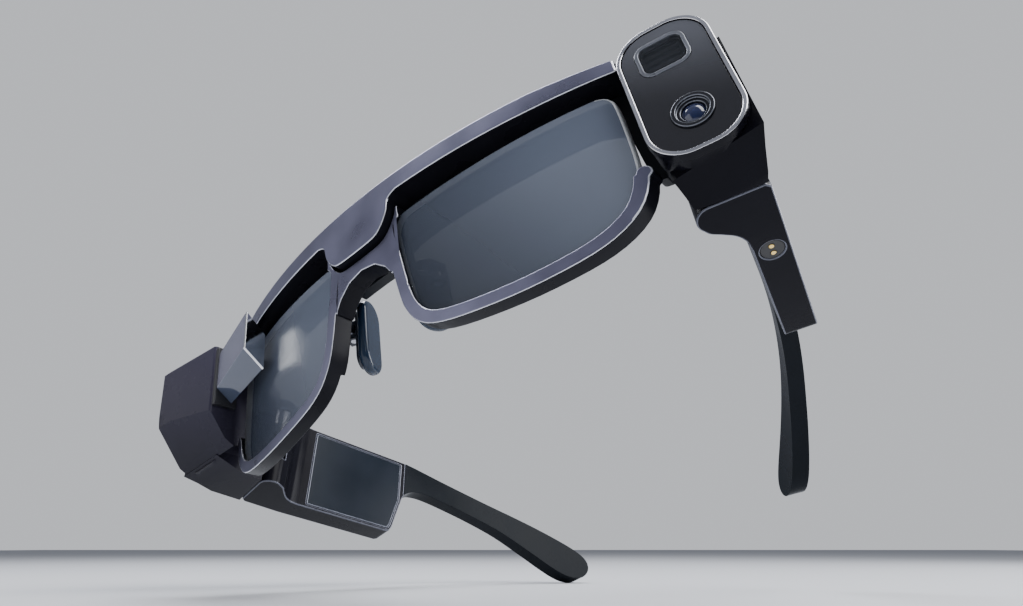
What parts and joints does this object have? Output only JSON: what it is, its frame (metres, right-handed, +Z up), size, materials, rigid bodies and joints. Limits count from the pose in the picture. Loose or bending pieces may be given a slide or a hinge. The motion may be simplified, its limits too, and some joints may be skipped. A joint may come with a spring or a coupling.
{
  "type": "smart glasses",
  "caption": "Smart glasses with a wrapped metal brow bar, a camera module at one end, a display pod with prism at the other, a hung lens carrier and folding electronics temples.",
  "frame": {"origin": "middle of the bounding box seen from above, at the height of its lowest point (the bottom of the lens rims)", "axes": "+X to the wearer's left (the camera side), +Y back along the temples, +Z up"},
  "size_m": [0.1734, 0.1442, 0.0504],
  "materials": {
    "frame_metal": "anodised lavender grey, satin with bright chamfers",
    "liner_black": "fine matte black moulding",
    "body_black": "satin black housing with a soft lavender sheen",
    "arm_black": "satin black arm, softer at the tip",
    "cover_dark": "smooth satin slate inner cover",
    "bezel_silver": "bright polished silver ring",
    "cover_gloss": "deep gloss black cover glass",
    "ring_grey": "light grey satin window frame",
    "ring_dark": "dark stepped lens ring",
    "clear_glass": "smoked window glass",
    "front_element": "coated dark blue front element",
    "barrel_black": "black barrel with ribs",
    "lens_glass": "clear plano lens with polished edge",
    "prism_glass": "clear optical prism",
    "prism_silver": "silvered inner end of the prism",
    "collar_black": "black sealing collar",
    "panel": "micro display panel",
    "board_green": "green circuit board",
    "flex_amber": "amber flexible circuit",
    "screw_steel": "small steel screws",
    "magnet_plate": "nickel plated magnets",
    "pad_metal": "drawn steel pad arm",
    "pad_holder": "dark pad holder",
    "pad_silicone": "blue black translucent silicone",
    "hinge_steel": "machined steel hinge leaf",
    "pin_steel": "ground steel pin",
    "cell_wrap": "grey wrapped battery cell",
    "speaker_can": "pressed steel speaker can",
    "grille_black": "slotted black grille",
    "insert_black": "round black contact insert",
    "contact_gold": "gold plated charging contacts",
    "switch_metal": "small dome switch can",
    "button_metal": "anodised key",
    "touch_gloss": "gloss black touch strip"
  },
  "bodies": {
    "front": {"brow_bar": "frame_metal", "rear_frame": "liner_black", "front_flex": "flex_amber", "frame_screws": "screw_steel", "frame_magnets": "magnet_plate", "lens_carrier": "frame_metal", "carrier_magnets": "magnet_plate", "lens_left": "lens_glass", "lens_right": "lens_glass", "pad_arm_left": "pad_metal", "pad_arm_right": "pad_metal", "camera_housing": "body_black", "camera_bezel": "bezel_silver", "camera_cover": "cover_gloss", "tele_ring": "ring_grey", "tele_window": "clear_glass", "tele_barrel": "barrel_black", "wide_ring": "ring_dark", "wide_lens": "front_element", "wide_barrel": "barrel_black", "camera_board": "board_green", "display_housing": "body_black", "display_collar": "collar_black", "display_prism": "prism_glass", "prism_cap": "prism_silver", "relay_lens": "prism_glass", "display_panel": "panel", "display_board": "board_green", "hinge_bracket_left": "hinge_steel", "hinge_bracket_right": "hinge_steel", "hinge_pin_left": "pin_steel", "hinge_pin_right": "pin_steel"},
    "left_temple": {"left_shell": "body_black", "left_cover": "cover_dark", "left_arm": "arm_black", "left_leaf": "hinge_steel", "left_battery": "cell_wrap", "left_board": "board_green", "left_speaker": "speaker_can", "left_grille": "grille_black", "charging_insert": "insert_black", "charging_pins": "contact_gold", "shutter_switch": "switch_metal"},
    "right_temple": {"right_shell": "body_black", "right_cover": "cover_dark", "right_arm": "arm_black", "right_leaf": "hinge_steel", "right_battery": "cell_wrap", "right_board": "board_green", "right_speaker": "speaker_can", "right_grille": "grille_black", "touch_strip": "touch_gloss", "power_switch": "switch_metal"},
    "shutter_key": {"shutter_button": "button_metal"},
    "power_key": {"power_button": "button_metal"},
    "left_pad": {"nose_pad_left": "pad_silicone", "pad_box_left": "pad_holder"},
    "right_pad": {"nose_pad_right": "pad_silicone", "pad_box_right": "pad_holder"}
  },
  "joints": [
    {"name": "left_fold", "type": "hinge", "parent": "front", "child": "left_temple", "pos_m": [0.06982, -0.0383, 0.02748], "axis": [0, 0, 1], "range_deg": [0, 77]},
    {"name": "right_fold", "type": "hinge", "parent": "front", "child": "right_temple", "pos_m": [-0.07218, -0.0383, 0.02748], "axis": [0, 0, -1], "range_deg": [0, 61]},
    {"name": "shutter_press", "type": "slide", "parent": "left_temple", "child": "shutter_key", "axis": [0, 0, -1], "range_m": [0, 0.0006], "stiffness_N_per_m": 300},
    {"name": "power_press", "type": "slide", "parent": "right_temple", "child": "power_key", "axis": [0, 0, -1], "range_m": [0, 0.0006], "stiffness_N_per_m": 300},
    {"name": "left_pad_rock", "type": "hinge", "parent": "front", "child": "left_pad", "pos_m": [0.01302, -0.05644, 0.02277], "axis": [0, -0.1736, 0.9848], "range_deg": [-5, 5]},
    {"name": "right_pad_rock", "type": "hinge", "parent": "front", "child": "right_pad", "pos_m": [-0.01538, -0.05644, 0.02277], "axis": [0, -0.1736, 0.9848], "range_deg": [-5, 5]}
  ]
}
